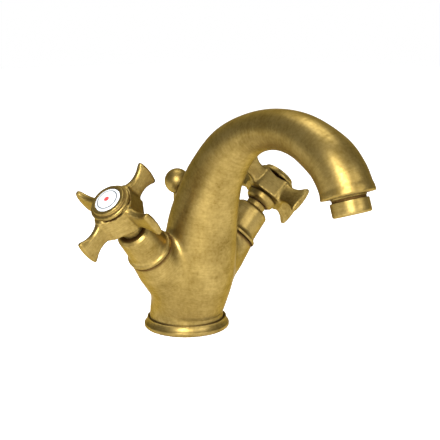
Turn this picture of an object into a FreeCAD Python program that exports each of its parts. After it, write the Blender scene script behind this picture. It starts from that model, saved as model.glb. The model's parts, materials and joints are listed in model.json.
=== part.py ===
import FreeCAD, Part
import Sketcher
import math
import os
import re

# A deck-mounted basin mixer: one casting with a swan-neck spout, two cross handles on valves that
# lean outwards, and a lift rod behind the neck. Millimetres and degrees. The origin is the centre of
# the base on the deck, +Z is up, the spout reaches towards -Y, the hot valve leans towards -X.

SIZES = {
    # base ring and the seal under it
    "ring_radius": 27.5,
    "ring_flare": 1.9,
    "ring_rim": 0.95,
    "ring_height": 6.7,
    "ring_band": 2.6,
    "ring_edge_round": 1.3,
    "ring_flare_bend": 7.0,
    "ring_lip": 0.9,
    "ring_foot": 3.5,
    "gasket_width": 4.0,
    "gasket_lip": 3.0,
    "gasket_thick": 1.8,
    "seam_gap": 0.45,
    "seam_depth": 1.5,
    # casting: waist, belly and shoulder of the vase, above its underside
    "waist_rise": 7.8,
    "waist_tuck": 0.2,
    "belly_rise": 18.8,
    "belly_lean": 4.5,
    "belly_swell": 1.0,
    "shoulder_rise": 32.8,
    "shoulder_lean": 9.5,
    "shoulder_swell": 0.4,
    # casting: centre line of the swan neck, three arcs that meet tangent
    "neck_start_lean": 12.6,
    "neck_start_rise": 35.0,
    "neck_bend": 127.0,
    "neck_sweep": 29.35,
    "bow_bend": 62.4,
    "bow_sweep": 95.7,
    "tip_bend": 39.2,
    "tip_sweep": 35.3,
    # casting: outer radius along the swan neck
    "neck_root_tuck": 1.0,
    "neck_low_radius": 21.4,
    "neck_high_radius": 18.8,
    "neck_end_radius": 17.3,
    "bow_rise_radius": 15.1,
    "bow_thin_radius": 12.35,
    "crown_radius": 11.7,
    "bow_fall_radius": 12.65,
    "bow_end_radius": 14.0,
    "tip_radius": 14.45,
    "outlet_radius": 14.7,
    # casting: water ways
    "spout_wall": 2.8,
    "neck_way_radius": 11.5,
    "chamber_radius": 14.5,
    "chamber_lean": 12.0,
    "chamber_rise": 44.8,
    "cross_way_radius": 4.0,
    "cross_way_reach": 15.5,
    "cross_way_lean": 5.5,
    "cross_way_rise": 42.8,
    "port_spacing": 19.0,
    "port_lean": 1.5,
    "port_radius": 4.6,
    "port_depth": 14.0,
    "riser_radius": 3.9,
    "riser_length": 25.8,
    "outlet_wall": 4.7,
    "outlet_step": 3.5,
    # valve arms, along each valve's axis from where the two axes meet
    "arm_rise": 45.75,
    "arm_sweep": 10.3,
    "arm_root_lean": 1.1,
    "arm_root_rise": 15.0,
    "arm_end": 50.9,
    "arm_end_radius": 13.0,
    "arm_neck_length": 14.9,
    "arm_neck_swell": 2.4,
    "arm_root_swell": 5.5,
    "arm_flare": 60.0,
    "seat_way_bottom": 11.0,
    "seat_depth": 22.9,
    "seat_land": 1.8,
    "seat_moat": 1.8,
    # head of each valve
    "thread_gap": 0.1,
    "arm_wall": 4.7,
    "head_wall": 2.7,
    "head_room": 5.0,
    "hex_gap": 0.78,
    "head_hex_height": 2.9,
    "head_neck_step": 1.0,
    "head_seal_thick": 1.2,
    # bonnet
    "bonnet_height": 21.5,
    "bonnet_lip_step": 1.0,
    "bonnet_lip_gap": 0.4,
    "bonnet_lip_band": 1.3,
    "bonnet_cone_rise": 6.1,
    "bonnet_cone_step": 0.9,
    "bonnet_flare_bend": 5.0,
    "bonnet_taper": 1.5,
    "bonnet_bevel": 0.9,
    "bonnet_wall": 1.5,
    # gland
    "collar_gap": 0.1,
    "collar_wall": 1.9,
    "collar_height": 3.8,
    "gland_gap": 0.5,
    "gland_step": 4.3,
    "gland_height": 4.0,
    "gland_spigot_wall": 0.84,
    "gland_spigot_length": 5.2,
    "stub_wall": 1.1,
    "packing_thick": 2.0,
    # spindle
    "spindle_radius": 4.0,
    "running_gap": 0.06,
    "barrel_gap": 0.3,
    "barrel_wall": 1.8,
    "barrel_roof": 1.3,
    "barrel_rise": 5.0,
    "barrel_length": 10.5,
    "spindle_shoulder_gap": 0.3,
    "spline_step": 0.4,
    "spline_room": 5.6,
    "seal_wire_radius": 0.62,
    "seal_rise": 9.5,
    "seal_spacing": 5.0,
    # jumper, its washer and the washer's screw
    "jumper_gap": 0.4,
    "jumper_thick": 1.8,
    "jumper_stem_room": 4.2,
    "washer_step": 0.3,
    "washer_lap": 0.7,
    "washer_thick": 1.65,
    "washer_screw_gap": 0.15,
    "seat_gap": 0.05,
    "washer_screw_radius": 1.45,
    "washer_screw_step": 1.05,
    "washer_screw_reach": 3.6,
    # cross handle
    "handle_gap": 0.6,
    "hub_height": 16.1,
    "hub_taper": 2.3,
    "hub_mid_height": 5.5,
    "hub_mid_step": 0.4,
    "hub_top_radius": 12.5,
    "hub_bevel": 0.7,
    "hub_face_step": 0.8,
    "handle_clock": 7.4,
    "handle_reach": 31.8,
    "arm_axis_lift": 0.8,
    "arm_tip_half": 9.6,
    "arm_neck_half": 5.0,
    "arm_flare_bend": 16.0,
    "arm_tip_thick": 5.4,
    "arm_root_thick": 8.4,
    "arm_root_place": 10.0,
    "arm_round": 2.1,
    "socket_gap": 0.08,
    "socket_web": 1.1,
    "cap_thread_wall": 4.1,
    "cap_thread_depth": 3.2,
    "handle_screw_radius": 1.95,
    "handle_screw_step": 2.05,
    "handle_screw_head_height": 2.4,
    "handle_screw_reach": 6.0,
    "screw_hole_room": 2.0,
    # index cap and disc
    "cap_gap": 0.6,
    "cap_band": 1.1,
    "cap_round": 1.1,
    "cap_ledge": 1.9,
    "cap_bead": 1.1,
    "cap_top_height": 4.2,
    "cap_plate": 1.6,
    "disc_rim": 2.5,
    "disc_gap": 0.15,
    "disc_edge": 0.9,
    "disc_dome": 1.0,
    # aerator
    "aerator_height": 7.8,
    "aerator_step": 0.9,
    "aerator_round": 1.4,
    "aerator_neck_step": 0.2,
    "aerator_neck": 2.5,
    "aerator_thread_length": 8.0,
    "aerator_wall": 1.3,
    "aerator_mouth_step": 0.7,
    "aerator_mouth_lip": 1.2,
    "insert_gap": 0.1,
    "insert_height": 9.0,
    "insert_recess": 1.5,
    "aerator_seal_thick": 1.5,
    # lift rod
    "rod_radius": 2.5,
    "rod_lean": 8.5,
    "rod_bottom": 95.0,
    "rod_tail_step": 0.5,
    "rod_tail_length": 20.0,
    "rod_hole_gap": 0.4,
    "knob_radius": 8.1,
    "knob_rise": 88.5,
    "knob_socket": 5.0,
    "bush_wall": 1.7,
    "bush_length": 12.0,
    # fixing kit under the deck
    "deck_thick": 25.0,
    "stud_radius": 4.0,
    "stud_lean": 12.8,
    "stud_depth": 15.0,
    "stud_tail": 24.0,
    "clamp_inset": 4.0,
    "clamp_rubber_thick": 3.0,
    "clamp_plate_thick": 2.0,
    "clamp_slot_gap": 0.9,
    "clamp_web": 1.2,
    "clamp_hole_gap": 0.4,
    "nut_flats": 13.0,
    "nut_height": 8.0,
}

# Places and sizes that follow from the sizes above, so that neighbouring pieces change together.
WORKED_OUT = {
    "ring_top_radius": "ring_radius - ring_flare",
    "foot_bore": "ring_top_radius - ring_rim",
    "foot_radius": "foot_bore - seam_gap",
    "ledge_height": "ring_height - seam_depth",
    "gasket_outer": "ring_radius - ring_foot",
    "gasket_inner": "gasket_outer - gasket_width",
    "ring_bore_radius": "gasket_inner - gasket_lip",
    "neck_start_height": "ledge_height + neck_start_rise",
    "neck_root_radius": "foot_radius - neck_root_tuck",
    # the two turning points of the neck's centre line, as distances forward of the origin and up
    "neck_turn_lean": "neck_start_lean + neck_bend",
    "bow_lean": "neck_turn_lean + (bow_bend - neck_bend) * cos(neck_sweep)",
    "bow_height": "neck_start_height + (neck_bend - bow_bend) * sin(neck_sweep)",
    "bow_end": "neck_sweep + bow_sweep",
    "tip_lean": "bow_lean + (tip_bend - bow_bend) * cos(bow_end)",
    "tip_height": "bow_height + (bow_bend - tip_bend) * sin(bow_end)",
    "outlet_tilt": "bow_end + tip_sweep",
    "outlet_bore_radius": "outlet_radius - outlet_wall",
    "outlet_bore_depth": "aerator_thread_length + aerator_seal_thick + outlet_step",
    "aerator_thread_radius": "outlet_bore_radius - thread_gap",
    "aerator_neck_radius": "aerator_thread_radius - aerator_neck_step",
    "aerator_radius": "aerator_thread_radius + aerator_step",
    "aerator_bore_radius": "aerator_thread_radius - aerator_wall",
    "aerator_mouth_radius": "aerator_bore_radius - aerator_mouth_step",
    "aerator_bottom": "aerator_neck + aerator_height",
    "arm_root_height": "ledge_height + arm_root_rise",
    "arm_neck_radius": "arm_end_radius + arm_neck_swell",
    "arm_root_radius": "arm_end_radius + arm_root_swell",
    "head_thread_radius": "arm_end_radius - arm_wall",
    "head_guide_radius": "head_thread_radius - head_wall",
    "seat_top": "arm_end - seat_depth",
    "head_bottom": "seat_top + head_room",
    "jumper_radius": "head_guide_radius - jumper_gap",
    "washer_radius": "jumper_radius - washer_step",
    "seat_way_radius": "washer_radius - washer_lap",
    "washer_bottom": "seat_top + seat_gap",
    "jumper_bottom": "washer_bottom + washer_thick",
    "jumper_top": "jumper_bottom + jumper_thick",
    "barrel_radius": "head_guide_radius - barrel_gap",
    "barrel_bore_radius": "barrel_radius - barrel_wall",
    "barrel_bottom": "head_bottom + barrel_rise",
    "barrel_top": "barrel_bottom + barrel_length",
    "barrel_bore_top": "barrel_top - barrel_roof",
    "jumper_stem_top": "barrel_bore_top - jumper_stem_room",
    "seal_one_place": "barrel_top + seal_rise",
    "seal_two_place": "seal_one_place + seal_spacing",
    "seal_groove_half": "seal_wire_radius + 4 * running_gap",
    "seal_groove_radius": "spindle_radius - 2 * seal_wire_radius - running_gap",
    "spindle_bore_radius": "spindle_radius + running_gap",
    "gland_spigot_radius": "spindle_bore_radius + gland_spigot_wall",
    "gland_radius": "gland_spigot_radius + gland_step",
    "head_stub_radius": "gland_spigot_radius + stub_wall",
    "head_neck_radius": "head_stub_radius + head_neck_step",
    "collar_bore_radius": "head_stub_radius + thread_gap",
    "collar_radius": "collar_bore_radius + collar_wall",
    "bonnet_lip_radius": "arm_end_radius + bonnet_lip_step",
    "bonnet_cone_radius": "arm_end_radius - bonnet_cone_step",
    "bonnet_top_radius": "bonnet_cone_radius - bonnet_taper",
    "hex_corner": "bonnet_cone_radius - bonnet_wall - hex_gap",
    "bonnet_lip": "arm_end + bonnet_lip_gap",
    "bonnet_band": "bonnet_lip + bonnet_lip_band",
    "bonnet_cone": "arm_end + bonnet_cone_rise",
    "bonnet_top": "arm_end + bonnet_height",
    "head_step": "bonnet_top - bonnet_wall",
    "collar_bottom": "bonnet_top + collar_gap",
    "collar_top": "collar_bottom + collar_height",
    "head_top": "collar_top + collar_gap",
    "gland_bottom": "head_top + gland_gap",
    "gland_top": "gland_bottom + gland_height",
    "gland_spigot_bottom": "gland_bottom - gland_spigot_length",
    "packing_bottom": "gland_spigot_bottom - packing_thick - running_gap",
    "handle_bottom": "gland_top + handle_gap",
    "hub_top": "handle_bottom + hub_height",
    "hub_bottom_radius": "hub_top_radius - hub_taper",
    "arm_axis": "handle_bottom + hub_height / 2 + arm_axis_lift",
    "spindle_shoulder": "gland_top + spindle_shoulder_gap",
    "spindle_top": "hub_top - spline_room",
    "spline_radius": "spindle_radius - spline_step",
    "handle_web": "spindle_top + handle_gap / 2",
    "screw_seat": "handle_web + socket_web",
    "handle_screw_bottom": "spindle_top - handle_screw_reach",
    "cap_thread_radius": "hub_top_radius - cap_thread_wall",
    "cap_bottom": "hub_top + cap_gap",
    "cap_shoulder": "cap_bottom + cap_band + cap_round",
    "cap_top": "cap_bottom + cap_top_height",
    "cap_step_radius": "hub_top_radius - cap_ledge",
    "disc_radius": "cap_step_radius - disc_rim",
    "disc_seat": "cap_top - disc_edge - disc_gap",
    "knob_height": "ledge_height + knob_rise",
    "knob_bottom": "knob_height - knob_radius",
    "rod_tail_radius": "rod_radius - rod_tail_step",
    "rod_tail_top": "rod_tail_length - rod_bottom",
    "bush_radius": "rod_radius + bush_wall",
    "clamp_radius": "ring_radius - clamp_inset",
    "clamp_slot_half": "port_spacing / 2 + port_radius + clamp_slot_gap",
    "clamp_slot_front": "stud_lean - stud_radius - clamp_hole_gap - clamp_web",
    "rubber_bottom": "-deck_thick - clamp_rubber_thick",
    "plate_bottom": "rubber_bottom - clamp_plate_thick",
    "nut_bottom": "plate_bottom - nut_height",
    "stud_bottom": "nut_bottom - stud_tail",
}

SIDES = {"hot": -1, "cold": 1}

doc = FreeCAD.newDocument("basin_mixer")
sheet = doc.addObject("Spreadsheet::Sheet", "Dim")
nodes = []


def fill_sheet():
    for row, (name, value) in enumerate(SIZES.items(), start=1):
        sheet.set("A%d" % row, name)
        sheet.set("B%d" % row, str(value))
        sheet.setAlias("B%d" % row, name)
    doc.recompute()


def ref(text):
    """An expression with each worked-out name written out and each size pointed at the sheet."""
    def written_out(match):
        name = match.group()
        if name in WORKED_OUT:
            return "(" + ref(WORKED_OUT[name]) + ")"
        return "Dim." + name if name in SIZES else name
    return re.sub(r"[a-z]\w*", written_out, text)


def number(text):
    return float(sheet.evalExpression(ref(text)))


def bind(thing, **expressions):
    for name, text in expressions.items():
        thing.setExpression(name, ref(text))
    return thing


def place(thing, x="0", y="0", z="0", turn="rotation(vector(0; 0; 1); 0)"):
    text = "placement(vector(%s; %s; %s); %s)" % (x, y, z, turn)
    return bind(thing, Placement=text)


def on_valve(thing, side, clock="0"):
    """Put a piece that was drawn about Z, at its distance along the valve, onto that valve's axis."""
    yaw = "-arm_sweep" if SIDES[side] > 0 else "180 + arm_sweep"
    turn = "rotation(vector(0; 0; 1); %s) * rotation(vector(0; 1; 0); 90 - arm_rise)" % yaw
    turn += " * rotation(vector(0; 0; 1); %s)" % clock
    return place(thing, y="-arm_root_lean", z="arm_root_height", turn=turn)


def on_outlet(thing):
    """Put a piece that was drawn about Z, with the outlet's face at 0 and +Z outwards, on the outlet."""
    lean, height = station("tip_lean", "tip_height", "tip_bend", "outlet_tilt")
    return place(thing, y=lean, z=height, turn="rotation(vector(1; 0; 0); outlet_tilt)")


def station(lean, height, bend, tilt):
    return "-(%s - %s * cos(%s))" % (lean, bend, tilt), "%s + %s * sin(%s)" % (height, bend, tilt)


def keep(thing, label):
    thing.Label = label
    nodes.append(thing)
    return thing


def origin_plane(body, role):
    return [item for item in body.Origin.OriginFeatures if item.Role == role][0]


def arc_between(start, end, radius, side):
    """A minor arc from start to end, its centre to the left (side 1) or right (side -1) of the way."""
    chord = end - start
    half = chord.Length / 2
    normal = FreeCAD.Vector(-chord.y, chord.x, 0).normalize()
    centre = (start + end) / 2 + normal * side * math.sqrt(radius ** 2 - half ** 2)
    first, last = (start, end) if side > 0 else (end, start)
    angles = [math.atan2(point.y - centre.y, point.x - centre.x) for point in (first, last)]
    if angles[1] < angles[0]:
        angles[1] += 2 * math.pi
    circle = Part.Circle(centre, FreeCAD.Vector(0, 0, 1), radius)
    return Part.ArcOfCircle(circle, *angles)


def draw(sketch, outline):
    """A closed outline of (across, up) corners in the sheet's names.

    A corner with two more entries, a radius and a side, starts an arc instead of a straight edge.
    """
    corners = [FreeCAD.Vector(number(item[0]), number(item[1]), 0) for item in outline]
    rules = []
    bound = []
    for index, item in enumerate(outline):
        start, end = corners[index], corners[(index + 1) % len(corners)]
        if len(item) == 4:
            radius = number(item[2])
            sketch.addGeometry(arc_between(start, end, radius, item[3]), False)
            rules.append(Sketcher.Constraint("Radius", index, radius))
            bound.append((len(rules) - 1, "bend%d" % index, item[2]))
        else:
            sketch.addGeometry(Part.LineSegment(start, end), False)
    first = [2 if len(item) == 4 and item[3] < 0 else 1 for item in outline]
    for index, item in enumerate(outline):
        after = (index + 1) % len(outline)
        rules.append(Sketcher.Constraint("Coincident", index, 3 - first[index], after, first[after]))
        for kind, axis, text, value in (("DistanceX", -2, item[0], corners[index].x),
                                        ("DistanceY", -1, item[1], corners[index].y)):
            if text == "0":
                rules.append(Sketcher.Constraint("PointOnObject", index, first[index], axis))
                continue
            rules.append(Sketcher.Constraint(kind, -1, 1, index, first[index], value))
            bound.append((len(rules) - 1, "%s%d" % (kind.lower(), index), text))
    sketch.addConstraint(rules)
    for index, name, text in bound:
        sketch.renameConstraint(index, name)
        sketch.setExpression("Constraints." + name, ref(text))


def turned(name, outline):
    """A body turned about Z from an outline of (radius, height) corners."""
    body = doc.addObject("PartDesign::Body", name)
    sketch = body.newObject("Sketcher::SketchObject", name + "_outline")
    sketch.AttachmentSupport = (origin_plane(body, "XZ_Plane"), [""])
    sketch.MapMode = "FlatFace"
    draw(sketch, outline)
    turn = body.newObject("PartDesign::Revolution", name + "_turn")
    turn.Profile = sketch
    turn.ReferenceAxis = (sketch, ["V_Axis"])
    turn.Angle = 360
    body.Tip = turn
    return body


def slab(name, outline, plane, **sizes):
    """A flat outline drawn on an origin plane and pushed both ways from it by half its length."""
    sketch = doc.addObject("Sketcher::SketchObject", name + "_outline")
    if plane == "XZ":
        sketch.Placement = FreeCAD.Placement(FreeCAD.Vector(), FreeCAD.Rotation(FreeCAD.Vector(1, 0, 0), 90))
    draw(sketch, outline)
    push = doc.addObject("Part::Extrusion", name)
    push.Base = sketch
    push.DirMode = "Normal"
    push.Solid = True
    push.Symmetric = True
    return bind(push, **sizes)


def cylinder(name, radius, height, **where):
    return place(bind(doc.addObject("Part::Cylinder", name), Radius=radius, Height=height), **where)


def cut(name, base, tool):
    piece = doc.addObject("Part::Cut", name)
    piece.Base = base
    piece.Tool = tool
    return piece


def common(name, base, tool):
    piece = doc.addObject("Part::Common", name)
    piece.Base = base
    piece.Tool = tool
    return piece


def fuse(name, pieces):
    piece = doc.addObject("Part::MultiFuse", name)
    piece.Shapes = pieces
    return piece


def hexagon(name, corner, height, z):
    prism = doc.addObject("Part::Prism", name)
    prism.Polygon = 6
    return place(bind(prism, Circumradius=corner, Height=height), z=z)


def ring_outline(inner, outer, low, high):
    return [(inner, low), (outer, low), (outer, high), (inner, high)]


# ---------------------------------------------------------------- base


def base_ring():
    piece = turned("base_ring", [
        ("ring_bore_radius", "0"),
        ("gasket_inner", "0"),
        ("gasket_inner", "gasket_thick"),
        ("gasket_outer", "gasket_thick"),
        ("gasket_outer", "0"),
        ("ring_radius - ring_edge_round", "0", "ring_edge_round", 1),
        ("ring_radius", "ring_edge_round"),
        ("ring_radius", "ring_band", "ring_flare_bend", -1),
        ("ring_top_radius", "ring_height - ring_lip"),
        ("ring_top_radius", "ring_height"),
        ("foot_bore", "ring_height"),
        ("foot_bore", "ledge_height"),
        ("ring_bore_radius", "ledge_height"),
    ])
    keep(piece, "base_ring")


def base_gasket():
    outline = ring_outline("gasket_inner", "gasket_outer", "0", "gasket_thick")
    keep(turned("base_gasket", outline), "base_gasket")


# ---------------------------------------------------------------- casting


def neck_sections():
    """(forward, up, tilt, radius) of the sections from the root of the neck to the outlet."""
    sections = []
    for share, radius in ((0.2, "neck_root_radius"), (0.5, "neck_low_radius"),
                          (0.8, "neck_high_radius"), (1.0, "neck_end_radius")):
        tilt = "(%g * neck_sweep)" % share
        sections.append(station("neck_turn_lean", "neck_start_height", "neck_bend", tilt) + (tilt, radius))
    for share, radius in ((0.2, "bow_rise_radius"), (0.4, "bow_thin_radius"), (0.6, "crown_radius"),
                          (0.8, "bow_fall_radius"), (1.0, "bow_end_radius")):
        tilt = "(neck_sweep + %g * bow_sweep)" % share
        sections.append(station("bow_lean", "bow_height", "bow_bend", tilt) + (tilt, radius))
    for share, radius in ((0.5, "tip_radius"), (1.0, "outlet_radius")):
        tilt = "(bow_end + %g * tip_sweep)" % share
        sections.append(station("tip_lean", "tip_height", "tip_bend", tilt) + (tilt, radius))
    return sections


def loft(name, sections):
    circles = []
    for index, (y, z, tilt, radius) in enumerate(sections):
        circle = bind(doc.addObject("Part::Circle", "%s_%d" % (name, index)), Radius=radius)
        circles.append(place(circle, y=y, z=z, turn="rotation(vector(1; 0; 0); %s)" % tilt))
    skin = doc.addObject("Part::Loft", name)
    skin.Sections = circles
    skin.Solid = True
    skin.Ruled = False
    return skin


def casting_skin():
    vase = [
        ("0", "ledge_height", "0", "foot_radius"),
        ("0", "ledge_height + waist_rise", "0", "foot_radius - waist_tuck"),
        ("-belly_lean", "ledge_height + belly_rise", "0", "foot_radius + belly_swell"),
        ("-shoulder_lean", "ledge_height + shoulder_rise", "0", "foot_radius + shoulder_swell"),
    ]
    pieces = [loft("swan_neck", vase + neck_sections())]
    for side in SIDES:
        arm = turned(side + "_arm", [
            ("0", "0"),
            ("arm_root_radius", "0"),
            ("arm_root_radius", "arm_end / 4"),
            ("arm_neck_radius", "arm_end - arm_neck_length", "arm_flare", -1),
            ("arm_end_radius", "arm_end"),
            ("0", "arm_end"),
        ])
        pieces.append(on_valve(arm, side))
    return fuse("casting_skin", pieces)


def water_ways():
    """Everything that is hollow in the casting, as one solid to take away."""
    hollows = []
    bore_sections = []
    for y, z, tilt, radius in neck_sections():
        bore_sections.append((y, z, tilt, "min(%s - spout_wall; neck_way_radius)" % radius))
    hollows.append(loft("neck_way", bore_sections))
    chamber = bind(doc.addObject("Part::Sphere", "chamber"), Radius="chamber_radius")
    hollows.append(place(chamber, y="-chamber_lean", z="ledge_height + chamber_rise"))
    hollows.append(cylinder("cross_way", "cross_way_radius", "2 * cross_way_reach", x="-cross_way_reach",
                            y="-cross_way_lean", z="ledge_height + cross_way_rise",
                            turn="rotation(vector(0; 1; 0); 90)"))
    seat = cylinder("outlet_seat", "outlet_bore_radius", "outlet_bore_depth + 1", z="-outlet_bore_depth")
    way = cylinder("outlet_way", "aerator_mouth_radius", "outlet_bore_depth + 4", z="-outlet_bore_depth - 4")
    hollows.append(on_outlet(fuse("outlet_bore", [seat, way])))
    for side, sign in SIDES.items():
        bore = turned(side + "_bore", [
            ("0", "seat_way_bottom"),
            ("seat_way_radius", "seat_way_bottom"),
            ("seat_way_radius", "seat_top"),
            ("seat_way_radius + seat_land", "seat_top"),
            ("seat_way_radius + seat_land", "seat_top - seat_moat"),
            ("head_thread_radius + thread_gap", "seat_top - seat_moat"),
            ("head_thread_radius + thread_gap", "arm_end + 1"),
            ("0", "arm_end + 1"),
        ])
        hollows.append(on_valve(bore, side))
        x = "%d * port_spacing / 2" % sign
        hollows.append(cylinder(side + "_port", "port_radius", "port_depth + 1",
                                x=x, y="-port_lean", z="ledge_height - 1"))
        hollows.append(cylinder(side + "_riser", "riser_radius", "riser_length",
                                x=x, y="-port_lean", z="ledge_height"))
    hollows.append(cylinder("stud_hole", "stud_radius + thread_gap", "stud_depth + 1",
                            y="-stud_lean", z="ledge_height - 1"))
    hollows.append(cylinder("rod_hole", "rod_radius + rod_hole_gap", "knob_height",
                            y="rod_lean", z="ledge_height - 1"))
    hollows.append(cylinder("bush_hole", "bush_radius + thread_gap", "bush_length + 1",
                            y="rod_lean", z="ledge_height - 1"))
    return fuse("water_ways", hollows)


def body_casting():
    keep(cut("body_casting", casting_skin(), water_ways()), "body_casting")


# ---------------------------------------------------------------- valves


def valve_head(side):
    blank = turned(side + "_head_blank", [
        ("0", "head_bottom"),
        ("head_thread_radius", "head_bottom"),
        ("head_thread_radius", "arm_end"),
        ("head_neck_radius", "arm_end"),
        ("head_neck_radius", "head_step"),
        ("head_stub_radius", "head_step"),
        ("head_stub_radius", "head_top"),
        ("0", "head_top"),
    ])
    flange = hexagon(side + "_head_hex", "hex_corner", "head_hex_height", "arm_end + head_seal_thick")
    inside = turned(side + "_head_inside", [
        ("0", "head_bottom - 1"),
        ("head_guide_radius", "head_bottom - 1"),
        ("head_guide_radius", "barrel_top + 4 * running_gap"),
        ("spindle_bore_radius", "barrel_top + 4 * running_gap"),
        ("spindle_bore_radius", "packing_bottom"),
        ("gland_spigot_radius + thread_gap", "packing_bottom"),
        ("gland_spigot_radius + thread_gap", "head_top + 1"),
        ("0", "head_top + 1"),
    ])
    piece = cut(side + "_head", fuse(side + "_head_skin", [blank, flange]), inside)
    keep(on_valve(piece, side), side + "_valve_head")
    outline = ring_outline("head_thread_radius + thread_gap", "hex_corner",
                           "arm_end", "arm_end + head_seal_thick")
    keep(on_valve(turned(side + "_seal", outline), side), side + "_head_seal")


def bonnet(side):
    piece = turned(side + "_bonnet_body", [
        ("bonnet_lip_radius - bonnet_wall", "bonnet_lip"),
        ("bonnet_lip_radius", "bonnet_lip"),
        ("bonnet_lip_radius", "bonnet_band", "bonnet_flare_bend", -1),
        ("bonnet_cone_radius", "bonnet_cone"),
        ("bonnet_top_radius", "bonnet_top - bonnet_bevel", "bonnet_bevel * 1.2", 1),
        ("bonnet_top_radius - bonnet_bevel", "bonnet_top"),
        ("collar_bore_radius", "bonnet_top"),
        ("collar_bore_radius", "head_step"),
        ("bonnet_top_radius - bonnet_wall", "head_step"),
        ("bonnet_cone_radius - bonnet_wall", "bonnet_cone - bonnet_wall", "bonnet_flare_bend + bonnet_wall", 1),
        ("bonnet_lip_radius - bonnet_wall", "bonnet_band - bonnet_wall / 2"),
    ])
    keep(on_valve(piece, side), side + "_bonnet")


def gland(side):
    collar = ring_outline("collar_bore_radius", "collar_radius", "collar_bottom", "collar_top")
    keep(on_valve(turned(side + "_collar", collar), side), side + "_bonnet_nut")
    nut = turned(side + "_gland", [
        ("spindle_bore_radius", "gland_spigot_bottom"),
        ("gland_spigot_radius", "gland_spigot_bottom"),
        ("gland_spigot_radius", "gland_bottom"),
        ("gland_radius", "gland_bottom"),
        ("gland_radius", "gland_top"),
        ("spindle_bore_radius", "gland_top"),
    ])
    keep(on_valve(nut, side), side + "_gland_nut")
    packing = ring_outline("spindle_bore_radius", "gland_spigot_radius",
                           "packing_bottom", "gland_spigot_bottom - running_gap")
    keep(on_valve(turned(side + "_packing", packing), side), side + "_gland_packing")


def spindle(side):
    outline = [
        ("barrel_bore_radius", "barrel_bottom"),
        ("barrel_radius", "barrel_bottom"),
        ("barrel_radius", "barrel_top"),
        ("spindle_radius", "barrel_top"),
    ]
    for seal in ("seal_one_place", "seal_two_place"):
        outline += [
            ("spindle_radius", seal + " - seal_groove_half"),
            ("seal_groove_radius", seal + " - seal_groove_half"),
            ("seal_groove_radius", seal + " + seal_groove_half"),
            ("spindle_radius", seal + " + seal_groove_half"),
        ]
    outline += [
        ("spindle_radius", "spindle_shoulder"),
        ("spline_radius", "spindle_shoulder"),
        ("spline_radius", "spindle_top"),
        ("handle_screw_radius + thread_gap", "spindle_top"),
        ("handle_screw_radius + thread_gap", "handle_screw_bottom - screw_hole_room"),
        ("0", "handle_screw_bottom - screw_hole_room"),
        ("0", "barrel_bore_top"),
        ("barrel_bore_radius", "barrel_bore_top"),
    ]
    keep(on_valve(turned(side + "_spindle_body", outline), side), side + "_spindle")
    rings = []
    for index, seal in enumerate(("seal_one_place", "seal_two_place")):
        ring = doc.addObject("Part::Torus", "%s_seal_%d" % (side, index))
        bind(ring, Radius1="spindle_radius - seal_wire_radius", Radius2="seal_wire_radius")
        rings.append(place(ring, z=seal))
    pair = doc.addObject("Part::Compound", side + "_seals")
    pair.Links = rings
    keep(on_valve(pair, side), side + "_spindle_seals")


def jumper(side):
    piece = turned(side + "_jumper_body", [
        ("washer_screw_radius + running_gap", "jumper_bottom"),
        ("jumper_radius", "jumper_bottom"),
        ("jumper_radius", "jumper_top"),
        ("barrel_bore_radius - running_gap", "jumper_top"),
        ("barrel_bore_radius - running_gap", "jumper_stem_top"),
        ("0", "jumper_stem_top"),
        ("0", "washer_bottom + washer_screw_reach + 2 * running_gap"),
        ("washer_screw_radius + running_gap", "washer_bottom + washer_screw_reach + 2 * running_gap"),
    ])
    keep(on_valve(piece, side), side + "_jumper")
    washer = ring_outline("washer_screw_radius + washer_screw_gap", "washer_radius",
                          "washer_bottom", "jumper_bottom")
    keep(on_valve(turned(side + "_washer_body", washer), side), side + "_jumper_washer")
    screw = turned(side + "_washer_screw_body", [
        ("0", "seat_top - 1"),
        ("washer_screw_radius + washer_screw_step", "seat_top - 1"),
        ("washer_screw_radius + washer_screw_step", "washer_bottom"),
        ("washer_screw_radius", "washer_bottom"),
        ("washer_screw_radius", "washer_bottom + washer_screw_reach"),
        ("0", "washer_bottom + washer_screw_reach"),
    ])
    keep(on_valve(screw, side), side + "_washer_screw")


# ---------------------------------------------------------------- handles


def arm_pair(side, index):
    """Two opposite arms: a fishtail seen from the side, a taper seen from above, edges rounded."""
    name = "%s_arms_%d" % (side, index)
    rise = "(arm_tip_half - arm_neck_half)"
    flare = "(handle_reach - sqrt(2 * arm_flare_bend * %s - %s * %s))" % (rise, rise, rise)
    tail = slab(name + "_tail", [
        ("-handle_reach", "arm_axis - arm_tip_half", "arm_flare_bend", -1),
        ("-" + flare, "arm_axis - arm_neck_half"),
        (flare, "arm_axis - arm_neck_half", "arm_flare_bend", -1),
        ("handle_reach", "arm_axis - arm_tip_half"),
        ("handle_reach", "arm_axis + arm_tip_half", "arm_flare_bend", -1),
        (flare, "arm_axis + arm_neck_half"),
        ("-" + flare, "arm_axis + arm_neck_half", "arm_flare_bend", -1),
        ("-handle_reach", "arm_axis + arm_tip_half"),
    ], "XZ", LengthFwd="2 * arm_root_thick")
    taper = slab(name + "_taper", [
        ("-handle_reach - 1", "-arm_tip_thick / 2"),
        ("-arm_root_place", "-arm_root_thick / 2"),
        ("arm_root_place", "-arm_root_thick / 2"),
        ("handle_reach + 1", "-arm_tip_thick / 2"),
        ("handle_reach + 1", "arm_tip_thick / 2"),
        ("arm_root_place", "arm_root_thick / 2"),
        ("-arm_root_place", "arm_root_thick / 2"),
        ("-handle_reach - 1", "arm_tip_thick / 2"),
    ], "XY", LengthFwd="4 * arm_tip_half")
    place(taper, z="arm_axis")
    sharp = common(name + "_sharp", tail, taper)
    doc.recompute()
    rounded = doc.addObject("Part::Fillet", name)
    rounded.Base = sharp
    size = number("arm_round")
    rounded.Edges = [(edge + 1, size, size) for edge in range(len(sharp.Shape.Edges))]
    return place(rounded, turn="rotation(vector(0; 0; 1); %d)" % (90 * index))


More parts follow.
